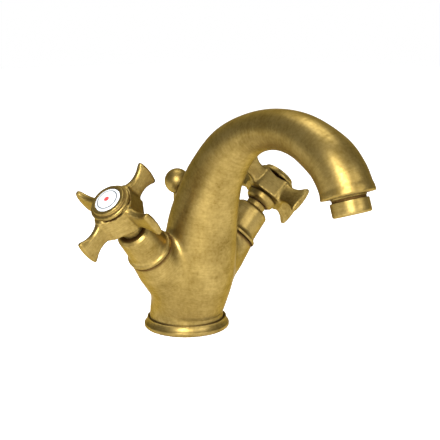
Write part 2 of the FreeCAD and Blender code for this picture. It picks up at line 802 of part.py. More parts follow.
def hub(side):
    skin = turned(side + "_hub_round", [
        ("0", "handle_bottom"),
        ("hub_bottom_radius - hub_bevel / 2", "handle_bottom"),
        ("hub_bottom_radius", "handle_bottom + hub_bevel / 2"),
        ("hub_top_radius - hub_mid_step", "handle_bottom + hub_mid_height", "3 * hub_height", 1),
        ("hub_top_radius", "hub_top - hub_bevel"),
        ("hub_top_radius - hub_bevel", "hub_top"),
        ("0", "hub_top"),
    ])
    faces = doc.addObject("Part::Wedge", side + "_hub_faces")
    low = "(hub_bottom_radius - hub_face_step)"
    high = "(hub_top_radius - hub_face_step)"
    bind(faces, Ymin="0", Ymax="hub_height", Xmin="-" + low, Xmax=low, Zmin="-" + low, Zmax=low,
         X2min="-" + high, X2max=high, Z2min="-" + high, Z2max=high)
    place(faces, z="handle_bottom", turn="rotation(vector(0; 0; 1); 45) * rotation(vector(1; 0; 0); 90)")
    return common(side + "_hub", skin, faces)


def handle(side):
    inside = turned(side + "_handle_inside", [
        ("0", "handle_bottom - 1"),
        ("spline_radius + socket_gap", "handle_bottom - 1"),
        ("spline_radius + socket_gap", "handle_web"),
        ("handle_screw_radius + socket_gap", "handle_web"),
        ("handle_screw_radius + socket_gap", "screw_seat"),
        ("cap_thread_radius + thread_gap", "screw_seat"),
        ("cap_thread_radius + thread_gap", "hub_top + 1"),
        ("0", "hub_top + 1"),
    ])
    skin = fuse(side + "_handle_skin", [hub(side)] + [arm_pair(side, index) for index in range(2)])
    clock = "%d * handle_clock" % SIDES[side]
    keep(on_valve(cut(side + "_handle_solid", skin, inside), side, clock), side + "_handle")
    screw = turned(side + "_handle_screw_body", [
        ("0", "handle_screw_bottom"),
        ("handle_screw_radius", "handle_screw_bottom"),
        ("handle_screw_radius", "screw_seat"),
        ("handle_screw_radius + handle_screw_step", "screw_seat"),
        ("handle_screw_radius + handle_screw_step", "screw_seat + handle_screw_head_height"),
        ("0", "screw_seat + handle_screw_head_height"),
    ])
    keep(on_valve(screw, side), side + "_handle_screw")


def index_cap(side):
    cap = turned(side + "_cap", [
        ("0", "disc_seat - cap_plate"),
        ("cap_thread_radius - cap_plate", "disc_seat - cap_plate"),
        ("cap_thread_radius - cap_plate", "hub_top - cap_thread_depth / 2"),
        ("cap_thread_radius", "hub_top - cap_thread_depth / 2"),
        ("cap_thread_radius", "cap_bottom"),
        ("hub_top_radius - cap_round / 2", "cap_bottom"),
        ("hub_top_radius", "cap_bottom + cap_round / 2"),
        ("hub_top_radius", "cap_bottom + cap_band", "cap_round", 1),
        ("hub_top_radius - cap_round", "cap_shoulder"),
        ("cap_step_radius", "cap_shoulder"),
        ("cap_step_radius", "cap_top - cap_bead", "cap_bead", 1),
        ("cap_step_radius - cap_bead", "cap_top"),
        ("disc_radius + disc_gap", "cap_top"),
        ("disc_radius + disc_gap", "disc_seat"),
        ("0", "disc_seat"),
    ])
    keep(on_valve(cap, side), side + "_index_cap")
    disc = turned(side + "_disc", [
        ("0", "disc_seat"),
        ("disc_radius", "disc_seat"),
        ("disc_radius", "disc_seat + disc_edge", "(disc_radius ^ 2 + disc_dome ^ 2) / (2 * disc_dome)", 1),
        ("0", "disc_seat + disc_edge + disc_dome"),
    ])
    keep(on_valve(disc, side), side + "_index_disc")


# ---------------------------------------------------------------- aerator


def aerator():
    housing = turned("aerator_body", [
        ("aerator_bore_radius", "-aerator_thread_length"),
        ("aerator_thread_radius", "-aerator_thread_length"),
        ("aerator_thread_radius", "-aerator_neck"),
        ("aerator_neck_radius", "-aerator_neck"),
        ("aerator_neck_radius", "aerator_neck"),
        ("aerator_radius", "aerator_neck"),
        ("aerator_radius", "aerator_bottom - aerator_round", "aerator_round", 1),
        ("aerator_radius - aerator_round", "aerator_bottom"),
        ("aerator_mouth_radius", "aerator_bottom"),
        ("aerator_mouth_radius", "aerator_bottom - aerator_mouth_lip"),
        ("aerator_bore_radius", "aerator_bottom - aerator_mouth_lip"),
    ])
    keep(on_outlet(housing), "aerator_housing")
    low = "(aerator_bottom - aerator_mouth_lip - insert_height)"
    insert = turned("insert_body", [
        ("0", low),
        ("aerator_bore_radius - insert_gap", low),
        ("aerator_bore_radius - insert_gap", low + " + insert_height"),
        ("aerator_mouth_radius - insert_gap", low + " + insert_height"),
        ("aerator_mouth_radius - insert_gap", low + " + insert_height - insert_recess"),
        ("0", low + " + insert_height - insert_recess"),
    ])
    keep(on_outlet(insert), "aerator_insert")
    seal = ring_outline("aerator_bore_radius - insert_gap", "aerator_thread_radius",
                        "-aerator_thread_length - aerator_seal_thick", "-aerator_thread_length")
    keep(on_outlet(turned("aerator_seal_body", seal)), "aerator_seal")


# ---------------------------------------------------------------- lift rod


def lift_rod():
    rod = turned("lift_rod_body", [
        ("0", "-rod_bottom"),
        ("rod_tail_radius", "-rod_bottom"),
        ("rod_tail_radius", "rod_tail_top"),
        ("rod_radius", "rod_tail_top"),
        ("rod_radius", "knob_bottom + knob_socket"),
        ("0", "knob_bottom + knob_socket"),
    ])
    keep(place(rod, y="rod_lean"), "lift_rod")
    ball = place(bind(doc.addObject("Part::Sphere", "knob_ball"), Radius="knob_radius"),
                 y="rod_lean", z="knob_height")
    socket = cylinder("knob_socket_hole", "rod_radius + running_gap", "knob_socket + 2",
                      y="rod_lean", z="knob_bottom - 2")
    keep(cut("knob", ball, socket), "lift_rod_knob")
    sleeve = cylinder("bush_skin", "bush_radius", "bush_length", y="rod_lean", z="ledge_height")
    bore = cylinder("bush_bore", "rod_radius + running_gap", "bush_length + 2",
                    y="rod_lean", z="ledge_height - 1")
    keep(cut("bush", sleeve, bore), "lift_rod_bush")


# ---------------------------------------------------------------- fixing kit under the deck


def clamp_layer(name, thick, z):
    """A round washer with a slot open to the back, so that it passes the hoses and the lift rod."""
    disc = cylinder(name + "_disc", "clamp_radius", thick, z=z)
    slot = bind(doc.addObject("Part::Box", name + "_slot"), Length="2 * clamp_slot_half",
                Width="2 * clamp_radius", Height=thick + " + 2")
    place(slot, x="-clamp_slot_half", y="-clamp_slot_front", z=z + " - 1")
    hole = cylinder(name + "_hole", "stud_radius + clamp_hole_gap", thick + " + 2",
                    y="-stud_lean", z=z + " - 1")
    keep(cut(name + "_cut", disc, fuse(name + "_openings", [slot, hole])), name)


def fixing_kit():
    clamp_layer("clamp_rubber", "clamp_rubber_thick", "rubber_bottom")
    clamp_layer("clamp_plate", "clamp_plate_thick", "plate_bottom")
    blank = hexagon("nut_blank", "nut_flats / 2 / cos(30)", "nut_height", "nut_bottom")
    place(blank, y="-stud_lean", z="nut_bottom")
    bore = cylinder("nut_bore", "stud_radius + thread_gap", "nut_height + 2",
                    y="-stud_lean", z="nut_bottom - 1")
    keep(cut("nut", blank, bore), "stud_nut")
    stud = cylinder("stud_body", "stud_radius", "ledge_height + stud_depth - stud_bottom",
                    y="-stud_lean", z="stud_bottom")
    keep(stud, "mounting_stud")


# ---------------------------------------------------------------- build, check and write


def build():
    fill_sheet()
    base_ring()
    base_gasket()
    body_casting()
    for side in SIDES:
        valve_head(side)
        bonnet(side)
        gland(side)
        spindle(side)
        jumper(side)
        handle(side)
        index_cap(side)
    aerator()
    lift_rod()
    fixing_kit()
    doc.recompute()


def check():
    for thing in doc.Objects:
        if "Invalid" in thing.State or "Error" in thing.State:
            raise RuntimeError("%s did not rebuild: %s" % (thing.Name, thing.State))
    for piece in nodes:
        shape = piece.Shape
        if shape.isNull() or not shape.isValid() or not shape.Solids:
            raise RuntimeError("%s has no sound solid" % piece.Label)


def write():
    os.makedirs("parts", exist_ok=True)
    for piece in nodes:
        piece.Shape.exportStep("parts/%s.step" % piece.Label)
        print("%-20s %2d solid %9.1f mm3" % (piece.Label, len(piece.Shape.Solids), piece.Shape.Volume))


build()
check()
write()
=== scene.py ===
# %% [markdown]
# # A basin mixer in aged brass
#
# This lesson dresses a bathroom basin mixer: one casting with a swan-neck spout, two cross handles
# that lean outwards, a ball on the lift rod and a stepped ring at the foot. The engineering model
# gives every part's place. Here most of the parts that show are made again with soft edges, flowing
# joins and the marks of hand brushing. The lift rod, the aerator's insert and the hidden parts keep
# the model's own shapes and only get a finish.
#
# Lengths are written in millimetres, as a brass founder would say them, and turned into metres
# only when a mesh is made. The origin is the middle of the foot, Z is up, the spout reaches to -Y.

# %% Load the engineering model
import json
import math

import bpy
import numpy as np
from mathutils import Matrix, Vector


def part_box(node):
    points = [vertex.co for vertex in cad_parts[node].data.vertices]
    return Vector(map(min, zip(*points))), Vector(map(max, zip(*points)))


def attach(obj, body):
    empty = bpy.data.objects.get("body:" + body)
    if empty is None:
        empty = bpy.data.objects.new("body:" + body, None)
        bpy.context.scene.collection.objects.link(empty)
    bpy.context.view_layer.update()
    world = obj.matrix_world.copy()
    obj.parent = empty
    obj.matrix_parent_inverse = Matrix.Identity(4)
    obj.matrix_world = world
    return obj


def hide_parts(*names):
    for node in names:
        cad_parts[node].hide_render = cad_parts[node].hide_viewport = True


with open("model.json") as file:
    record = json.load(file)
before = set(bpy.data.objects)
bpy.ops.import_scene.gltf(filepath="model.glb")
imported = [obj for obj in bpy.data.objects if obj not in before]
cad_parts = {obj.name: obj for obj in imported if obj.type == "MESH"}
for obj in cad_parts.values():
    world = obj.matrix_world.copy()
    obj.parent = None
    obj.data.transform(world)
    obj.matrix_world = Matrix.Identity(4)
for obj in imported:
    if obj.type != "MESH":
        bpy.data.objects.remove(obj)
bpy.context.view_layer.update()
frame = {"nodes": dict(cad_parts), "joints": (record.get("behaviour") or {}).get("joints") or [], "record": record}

import openvdb
from mathutils import Matrix, Vector

MM = 0.001
joints = {joint["name"]: joint for joint in frame["joints"]}
print("nodes:", len(frame["nodes"]), "joints:", sorted(joints))


# %% [markdown]
# ## Where things are
#
# Each valve is a small world of its own: its parts are turned about the valve's axis, and measured
# along it from the point where the two axes meet low in the casting. The joint that turns a handle
# knows its axis, so the valve's own frame is built from the joint: Z along the axis, Y level. The
# joint's own point lies 90 mm up the axis. Each handle has stopped a few degrees off square, so its
# frame is turned by an angle of its own. The cold one stands 4 degrees further round than in the
# engineering model.

# %% Frames of the valves and the outlet
SIDES = {"hot": -1, "cold": 1}
TURN_PLACE = 90.0
HANDLE_CLOCK = {"hot": -7.4, "cold": 11.4}


def valve_frame(side, clock=0.0):
    joint = joints[side + "_handle_turn"]
    along = Vector(joint["axis"]).normalized()
    level = Vector((0, 0, 1)).cross(along).normalized()
    across = level.cross(along)
    start = Vector(joint["pos_m"]) - along * TURN_PLACE * MM
    turned = Matrix((across, level, along)).transposed().to_4x4()
    return Matrix.Translation(start) @ turned @ Matrix.Rotation(math.radians(clock), 4, "Z")


VALVES = {side: valve_frame(side) for side in SIDES}
for side, place in VALVES.items():
    print(side, "valve starts at", [round(c / MM, 1) for c in place.translation])


# %% [markdown]
# ## Shader maths in plain sums
#
# A finish is a little graph of nodes. Writing it link by link hides the idea, so one small class
# wraps a socket and lets it stand in sums: `1 - wear * 0.3` adds its own Math nodes. Everything
# else, such as a noise or a colour mix, comes from one method that takes the node's type, its
# settings and its inputs.

# %% A socket that can stand in sums
class Amount:
    """One socket of a finish, usable in sums with numbers and with other sockets."""

    def __init__(self, finish, socket):
        self.finish = finish
        self.socket = socket

    def maths(self, operation, *terms):
        return self.finish.node("ShaderNodeMath", {"operation": operation}, dict(enumerate(terms)))

    def __add__(self, other):
        return self.maths("ADD", self, other)

    def __sub__(self, other):
        return self.maths("SUBTRACT", self, other)

    def __rsub__(self, other):
        return self.maths("SUBTRACT", other, self)

    def __mul__(self, other):
        return self.maths("MULTIPLY", self, other)

    def __rmul__(self, other):
        return self.maths("MULTIPLY", other, self)

    __radd__ = __add__

    def size(self):
        return self.maths("ABSOLUTE", self)

    def clamp(self):
        return self.finish.node("ShaderNodeClamp", {}, {"Value": self})

    def spread(self, low, high):
        """0 at low, 1 at high, and straight between."""
        inputs = {"Value": self, "From Min": low, "From Max": high}
        return self.finish.node("ShaderNodeMapRange", {"clamp": True}, inputs)


print("a socket can:", [name for name in vars(Amount) if not name.startswith("_")])


# %% A finish and its nodes
class Finish:
    """A material, or the room's light, made of nodes, with one method that adds any node."""

    def __init__(self, holder, shader="Principled BSDF"):
        holder.use_nodes = True
        self.holder = holder
        self.tree = holder.node_tree
        self.shader = self.tree.nodes[shader]

    def node(self, kind, settings, inputs, output=0):
        made = self.tree.nodes.new(kind)
        for name, value in settings.items():
            setattr(made, name, value)
        for name, value in inputs.items():
            self.set(made.inputs[name], value)
        return Amount(self, made.outputs[output])

    def set(self, socket, value):
        if isinstance(value, Amount):
            self.tree.links.new(value.socket, socket)
        elif isinstance(value, (int, float)):
            socket.default_value = value
        else:
            socket.default_value = tuple(value) + (1.0,) * (len(socket.default_value) - len(value))

    def mix(self, share, first, second):
        inputs = {0: share, 6: first, 7: second}
        return self.node("ShaderNodeMix", {"data_type": "RGBA"}, inputs, output=2)

    def noise(self, where, scale, detail=3.0, roughness=0.5):
        inputs = {"Vector": where, "Scale": scale, "Detail": detail, "Roughness": roughness}
        return self.node("ShaderNodeTexNoise", {}, inputs)

    def place(self, kind="Object"):
        return self.node("ShaderNodeTexCoord", {}, {}, output=kind)

    def mark(self, name, output="Fac"):
        return self.node("ShaderNodeAttribute", {"attribute_name": name}, {}, output=output)

    def use(self, **sockets):
        for name, value in sockets.items():
            self.set(self.shader.inputs[name.replace("_", " ")], value)
        return self.holder


print("a finish can:", [name for name in vars(Finish) if not name.startswith("_")])


# %% [markdown]
# ## Aged brass
#
# Real aged brass starts as bright yellow metal, is browned with acid, and is then rubbed back with
# an abrasive pad. So three things vary: a cloudy brown left by the acid, hair-thin lines left by
# the pad, and dirt that stays in the grooves where no pad reaches. The cloud is noise in space. The
# lines are noise stretched along a direction that each mesh carries as a "grain" mark. A second
# mark darkens the colour towards a near-black brown: partly dirt along joints, and partly painted
# shade in gaps, under lips and inside the caps. Lines and cloud are kept faint: strong ones look
# like wood. The tint of reflections at a glancing angle is kept brassy too, because white puts a
# pale rim on every curve.

# %% The brass finish
BRASS_BRIGHT = (0.290, 0.209, 0.068)
BRASS_BROWN = (0.132, 0.086, 0.019)
# Near-black brown of the darkening mark: dirt along joints, painted shade in gaps and undersides.
BRASS_DIRT_AND_SHADE = (0.060, 0.024, 0.005)


def aged_brass(name, brown=0.0):
    brass = Finish(bpy.data.materials.new(name))
    place = brass.place()
    cloud = brass.noise(place, 70.0, detail=5.0, roughness=0.65)
    speck = brass.noise(place, 600.0, detail=3.0)
    lines = brass.noise(brass.mark("grain", "Vector"), 1.0, detail=2.0, roughness=0.7)
    grime = brass.mark("grime")
    browned = (cloud.spread(0.34, 0.68) * 0.55 + speck.spread(0.35, 0.7) * 0.30
               + lines.spread(0.35, 0.7) * 0.30 + brown).clamp()
    rubbed = brass.mix(browned, BRASS_BRIGHT, BRASS_BROWN)
    # Painted shade and dirt: the colour runs to the near-black brown where the darkening mark is high.
    colour = brass.mix((grime * 0.92).clamp(), rubbed, BRASS_DIRT_AND_SHADE)
    rough = 0.34 + browned * 0.12 + lines * 0.06 + grime * 0.35
    bump = {"Strength": 0.10, "Distance": 0.0004, "Height": lines + speck}
    relief = brass.node("ShaderNodeBump", {}, bump)
    return brass.use(Base_Color=colour, Roughness=rough, Metallic=1.0 - grime * 0.1, Normal=relief,
                     Specular_Tint=(0.62, 0.52, 0.36))


AGED_BRASS = aged_brass("aged_brass")
print("finish:", AGED_BRASS.name, "with", len(AGED_BRASS.node_tree.nodes), "nodes")


# %% [markdown]
# ## Turned parts
#
# Most small parts come off a lathe: bonnets, collars, caps, the foot ring, the ball. A lathe part is
# an outline spun about an axis. Spinning is easy to write by hand, and it gives full control of the
# one thing that makes turned metal look real: every corner is broken by a small radius, which
# catches a line of light. So the outline's corners carry a radius each and are rounded first.

# %% Round the corners of an outline
def rounded(corners, steps=5):
    """(radius, height, fillet) corners of a closed outline to plain points with the corners rounded."""
    points = []
    for index, (across, up, fillet) in enumerate(corners):
        here = np.array((across, up), float)
        before = np.array(corners[index - 1][:2], float) - here
        after = np.array(corners[(index + 1) % len(corners)][:2], float) - here
        lengths = np.linalg.norm(before), np.linalg.norm(after)
        cosine = float(np.clip(before @ after / max(lengths[0] * lengths[1], 1e-9), -1, 1))
        half = math.acos(cosine) / 2
        if fillet <= 0 or half > 1.55:
            points.append(tuple(here))
            continue
        reach = min(fillet / math.tan(half), 0.48 * min(lengths))
        first = here + before / lengths[0] * reach
        last = here + after / lengths[1] * reach
        for step in range(steps + 1):
            share = step / steps
            pull = 2 * share * (1 - share) * here
            points.append(tuple((1 - share) ** 2 * first + pull + share ** 2 * last))
    return points


def sweep(start, end, bend, side, steps=8):
    """Points of an arc from start to end that bends by this radius, as sharp outline corners."""
    start, end = np.array(start, float), np.array(end, float)
    chord = end - start
    length = np.linalg.norm(chord)
    normal = np.array((-chord[1], chord[0])) / length * side
    centre = (start + end) / 2 + normal * math.sqrt(max(bend ** 2 - length ** 2 / 4, 0))
    first = math.atan2(*(start - centre)[::-1])
    swing = math.atan2(*(end - centre)[::-1]) - first
    swing = (swing + math.pi) % (2 * math.pi) - math.pi
    angles = [first + swing * step / steps for step in range(steps + 1)]
    return [(centre[0] + bend * math.cos(a), centre[1] + bend * math.sin(a), 0) for a in angles]


print("a rounded square has", len(rounded([(0, 0, 1), (4, 0, 1), (4, 4, 1), (0, 4, 1)])), "points")


# %% Spin an outline about an axis
def add_marks(mesh, grain, grime):
    """The grain of each vertex, and its darkening for dirt and painted shade, for the brass finish to read."""
    mesh.attributes.new("grain", "FLOAT_VECTOR", "POINT").data.foreach_set("vector", np.ravel(grain))
    mesh.attributes.new("grime", "FLOAT", "POINT").data.foreach_set("value", np.ravel(grime))


def show(name, mesh, body, material, slot, *nodes):
    """Put a mesh in the scene on its moving body, in place of the nodes it stands for."""
    mesh.materials.append(material)
    mesh.shade_smooth()
    piece = bpy.data.objects.new(name, mesh)
    bpy.context.scene.collection.objects.link(piece)
    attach(piece, body)
    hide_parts(*nodes)


def divided(points, longest):
    """Add points to a closed outline until no straight stretch is longer than this."""
    result = []
    for here, there in zip(points, points[1:] + points[:1]):
        pieces = max(1, math.ceil(math.dist(here, there) / longest))
        result += [tuple(np.array(here) + (np.array(there) - here) * i / pieces) for i in range(pieces)]
    return result


def spun(name, outline, place, grime=None, segments=128, longest=1.2):
    """A closed mesh: the outline's (radius, height) points in mm, spun about the frame's Z."""
    points = divided(outline, longest)
    angles = np.linspace(0, 2 * math.pi, segments, endpoint=False)
    vertices, rings, grains, dirt_and_shade_values = [], [], [], []
    travelled = 0.0
    for index, (radius, height) in enumerate(points):
        travelled += math.dist(points[index - 1], (radius, height)) if index else 0.0
        dirt_and_shade_here = grime(radius, height) if grime else 0.0
        count = 1 if radius < 1e-6 else segments
        rings.append(range(len(vertices), len(vertices) + count))
        for angle in angles[:count]:
            vertices.append((radius * math.cos(angle), radius * math.sin(angle), height))
            grains.append((travelled * 5.0, math.cos(angle) * 0.8, math.sin(angle) * 0.8))
            dirt_and_shade_values.append(dirt_and_shade_here)
    faces = []
    for low, high in zip(rings, rings[1:] + rings[:1]):
        if len(low) == 1 and len(high) == 1:
            continue
        for step in range(segments):
            after = (step + 1) % segments
            ends = [low[step % len(low)], low[after % len(low)],
                    high[after % len(high)], high[step % len(high)]]
            faces.append(tuple(dict.fromkeys(ends)))
    mesh = bpy.data.meshes.new(name)
    mesh.from_pydata([place @ (Vector(v) * MM) for v in vertices], [], faces)
    add_marks(mesh, grains, dirt_and_shade_values)
    return mesh


print("a 4 mm square divided to 1.2 mm has", len(divided([(0, 0), (4, 0), (4, 4), (0, 4)], 1.2)), "points")


# %% [markdown]
# ## The foot ring
#
# The casting stands in a loose ring that hides the edge of the hole in the basin. It has a short
# upright lip, a hollow flare and a rounded foot, and the joint with the casting is a thin dark
# line. It is spun from one outline. Its bore is dark by the joint, and the bottom of its foot is
# darkened as painted shade where it meets the floor.

# %% Foot ring
RING_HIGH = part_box("base_ring")[1]
RING_RADIUS = RING_HIGH.x / MM
RING_HEIGHT = RING_HIGH.z / MM
RING_TOP = RING_RADIUS - 1.9
RING_BORE = RING_TOP - 0.95
FOOT_RADIUS = RING_BORE - 0.45
LEDGE = RING_HEIGHT - 1.5
UPRIGHT = Matrix.Identity(4)

ring_outline = rounded([
    (17.0, 0.02, 0), (RING_RADIUS - 0.9, 0.02, 0), (RING_RADIUS, 0.9, 0.8), (RING_RADIUS, 2.5, 0.5)]
    + sweep((RING_RADIUS - 0.25, 2.9), (RING_TOP + 0.05, RING_HEIGHT - 0.95), 7.0, -1)
    + [(RING_TOP, RING_HEIGHT - 0.75, 0.1), (RING_TOP, RING_HEIGHT, 0.28), (RING_BORE, RING_HEIGHT, 0.15),
       (RING_BORE, LEDGE, 0), (17.0, LEDGE, 0)])


# Dark in the bore by the joint; the bottom of the foot is painted shade where it meets the floor.
def ring_dirt_and_shade(radius, height):
    return 1.0 if radius < RING_BORE + 0.1 else max(0.0, 0.8 - height)


ring_mesh = spun("foot_ring", ring_outline, UPRIGHT, ring_dirt_and_shade)
show("foot_ring", ring_mesh, "faucet_body", AGED_BRASS, "antique_brass", "base_ring")
print("foot ring: radius", round(RING_RADIUS, 2), "mm, height", round(RING_HEIGHT, 2), "mm")


# %% [markdown]
# ## Cast shapes as distance fields
#
# The casting is one piece of metal. Where an arm leaves the vase or the vase turns into the neck
# there is no edge, only a soft hollow left by the founder's fillet. Joining meshes with a boolean
# leaves a hard crease there, and rounding that crease afterwards is slow and fragile. A distance
# field is the better tool: each limb is a formula that says how far a point is from its surface,
# and a smooth minimum of two formulas gives the fillet for free. The zero surface is then turned
# into a mesh on a coarse grid and divided once, and every vertex is slid onto the formula in three
# small steps.

# %% Smooth joins and cuts
def soft_join(first, second, blend):
    """The union of two fields, with a fillet about as wide as blend."""
    reach = np.maximum(blend - np.abs(first - second), 0) / blend
    return np.minimum(first, second) - reach ** 2 * blend / 4


def soft_cut(first, second, blend):
    """What two fields share, with the edge between them rounded."""
    return -soft_join(-first, -second, blend)


def limb(points, stations):
    """Distance to a round limb through (x, y, z, radius) stations, and how far along it each point is."""
    best = np.full(len(points), 1e9)
    along = np.zeros(len(points))
    travelled = 0.0
    for here, there in zip(stations[:-1], stations[1:]):
        step = there[:3] - here[:3]
        length = np.linalg.norm(step)
        share = np.clip((points - here[:3]) @ step / length ** 2, 0, 1)
        away = np.linalg.norm(points - here[:3] - share[:, None] * step, axis=1)
        away -= here[3] + share * (there[3] - here[3])
        along = np.where(away < best, travelled + share * length, along)
        best = np.minimum(best, away)
        travelled += length
    return best, along


print("a join with a blend of 4 swells by", -soft_join(np.zeros(1), np.zeros(1), 4.0)[0], "mm in its corner")


# %% From a field to a mesh
def slide_on(field, points, rounds=3, step=0.02):
    """Move points onto the surface where the field is zero."""
    for _ in range(rounds):
        value = field(points)
        nudged = [field(points + way * step) for way in np.eye(3)]
        slope = np.stack([(there - value) / step for there in nudged], axis=1)
        points = points - slope * (value / np.maximum((slope ** 2).sum(1), 1e-6))[:, None]
    return points


def field_mesh(name, field, low, high, pitch, place, marks):
    """A closed mesh in metres of the surface where a field in mm is zero."""
    axes = [np.arange(a, b + pitch, pitch) for a, b in zip(low, high)]
    grid = np.stack(np.meshgrid(*axes, indexing="ij"), axis=-1).reshape(-1, 3)
    values = field(grid).reshape([len(axis) for axis in axes])
    volume = openvdb.FloatGrid(float(values.max()))
    volume.copyFromArray(values)
    corners, quads = volume.convertToQuads(0.0)
    rough = bpy.data.meshes.new(name + "_rough")
    rough.from_pydata(corners * pitch + np.array(low), [], quads.tolist())
    holder = bpy.data.objects.new(name + "_rough", rough)
    bpy.context.scene.collection.objects.link(holder)
    divide = holder.modifiers.new("divide", "SUBSURF")
    divide.levels = 1
    bpy.context.view_layer.update()
    fine = bpy.data.meshes.new_from_object(holder.evaluated_get(bpy.context.evaluated_depsgraph_get()))
    bpy.data.objects.remove(holder)
    points = np.zeros(len(fine.vertices) * 3)
    fine.vertices.foreach_get("co", points)
    points = slide_on(field, points.reshape(-1, 3))
    grain, grime = marks(points)
    metres = np.array([place @ Vector(p * MM) for p in points])
    fine.vertices.foreach_set("co", metres.ravel())
    fine.update()
    add_marks(fine, grain, grime)
    fine.name = name
    return fine


slid = slide_on(lambda points: np.linalg.norm(points, axis=1) - 5, np.array([[6.0, 1.0, 0.0]]))
print("a point slid onto a 5 mm ball is", round(float(np.linalg.norm(slid)), 3), "mm from its middle")


# %% [markdown]
# ## The casting
#
# The casting is three limbs: the vase that turns into the swan neck, and an arm to each valve. The
# neck's centre line is three arcs that run into each other, first a slow lean forwards, then the
# bow, then a tighter turn down to the outlet. Its radius shrinks to the crown and swells again to
# the outlet. The arms are wide at the root and pull in to the bonnet. The outlet and the ends of the
# arms are cut flat, with a small radius on the edge. The casting is made closed: its bores for the
# valves, the lift rod and the water are in the engineering model only. So the hidden parts stand
# inside its metal here, and the lift rod goes into it without a hole.

# %% Stations along the neck
NECK_LEAN, NECK_RISE = 12.6, 35.0
TURNS = ((127.0, 29.35), (62.4, 95.7), (39.2, 36.2))
NECK_RADII = (((0.2, 23.2), (0.5, 21.4), (0.8, 18.8), (1.0, 17.2)),
              ((0.2, 15.0), (0.4, 12.35), (0.6, 11.7), (0.8, 12.65), (1.0, 14.0)),
              ((0.5, 14.5), (0.9, 14.7), (1.0, 15.2), (1.25, 15.3)))


def neck_stations():
    """(0, y, z, radius) of stations from the foot to just past the outlet."""
    stations = [(0, 0.0, LEDGE - 3, FOOT_RADIUS), (0, 0.0, LEDGE + 7.8, FOOT_RADIUS - 0.8),
                (0, -4.2, LEDGE + 18.8, FOOT_RADIUS - 0.1), (0, -9.5, LEDGE + 32.8, FOOT_RADIUS + 0.1)]
    centre = np.array((-NECK_LEAN - TURNS[0][0], LEDGE + NECK_RISE))
    tilt = 0.0
    for index, ((bend, swing), radii) in enumerate(zip(TURNS, NECK_RADII)):
        for share, radius in radii:
            angle = math.radians(tilt + swing * share)
            y, z = centre[0] + bend * math.cos(angle), centre[1] + bend * math.sin(angle)
            stations.append((0, y, z, radius))
        tilt += swing
        out = np.array((math.cos(math.radians(tilt)), math.sin(math.radians(tilt))))
        if index + 1 < len(TURNS):
            centre = centre + out * (bend - TURNS[index + 1][0])
    return np.array(stations), centre + bend * out, math.radians(tilt)


def flowing(stations, steps=10):
    """More stations on a smooth curve through the given ones."""
    padded = np.vstack([2 * stations[0] - stations[1], stations, 2 * stations[-1] - stations[-2]])
    result = []
    for p0, p1, p2, p3 in zip(padded[:-3], padded[1:-2], padded[2:-1], padded[3:]):
        for t in np.arange(steps) / steps:
            result.append(0.5 * (2 * p1 + (p2 - p0) * t + (2 * p0 - 5 * p1 + 4 * p2 - p3) * t ** 2
                                 + (3 * p1 - p0 - 3 * p2 + p3) * t ** 3))
    return np.array(result + [stations[-1]])


NECK, OUTLET, OUTLET_TILT = neck_stations()
NECK = flowing(NECK)
OUTLET_WAY = np.array((0, -math.sin(OUTLET_TILT), math.cos(OUTLET_TILT)))
OUTLET_MID = np.array((0, *OUTLET))
OUTLET_FRAME = Matrix.Translation(Vector(OUTLET_MID) * MM) @ Matrix.Rotation(OUTLET_TILT, 4, "X")
print("outlet at", OUTLET.round(1), "mm, tilted", round(math.degrees(OUTLET_TILT), 1), "degrees")

# %% The casting's field
ARM_END = 50.9
ARM_RADII = ((-4.0, 16.8), (12.7, 17.3), (24.0, 17.3), (36.0, 16.5),
             (44.0, 15.2), (49.0, 14.4), (51.0, 14.1))


def valve_points(points, side):
    """Points in mm as seen from a valve: how far along the axis, and how far from it."""
    place = VALVES[side]
    axis = np.array(place.col[2][:3])
    local = points - np.array(place.translation) / MM
    along = local @ axis
    return along, np.linalg.norm(local - along[:, None] * axis, axis=1)


def arm_field(points, side):
    along, off = valve_points(points, side)
    places, radii = zip(*ARM_RADII)
    slope = np.interp(along + 1, places, radii) - np.interp(along - 1, places, radii)
    side_wall = (off - np.interp(along, places, radii)) / np.sqrt(1 + slope ** 2 / 4)
    ends = np.maximum(along - ARM_END, -along)
    return soft_cut(side_wall, ends, 0.8)


def casting_field(points):
    neck, _ = limb(points, NECK)
    past_outlet = (points - OUTLET_MID) @ OUTLET_WAY
    near_outlet = np.linalg.norm(points - OUTLET_MID, axis=1) < 25
    neck = np.where(near_outlet, soft_cut(neck, past_outlet, 0.6), neck)
    both = soft_join(arm_field(points, "hot"), arm_field(points, "cold"), 4.0)
    whole = soft_join(neck, both, 6.0)
    return soft_cut(whole, LEDGE - points[:, 2], 0.6)


print("20 mm up, the middle is", round(-float(casting_field(np.array([[0.0, 0.0, 20.0]]))[0]), 1), "mm deep")


# %% [markdown]
# ## Where the casting is brushed, and where it is darkened
#
# The pad is drawn along the neck and along each arm, so the grain runs that way. Just above the
# foot ring the joint is a dark line. Under each bonnet's lip and on the face of the outlet round the
# aerator the colour is darkened as painted shade. Painting this by hand would be lost when a size
# changes, so both marks are worked out from the same distances as the shape.

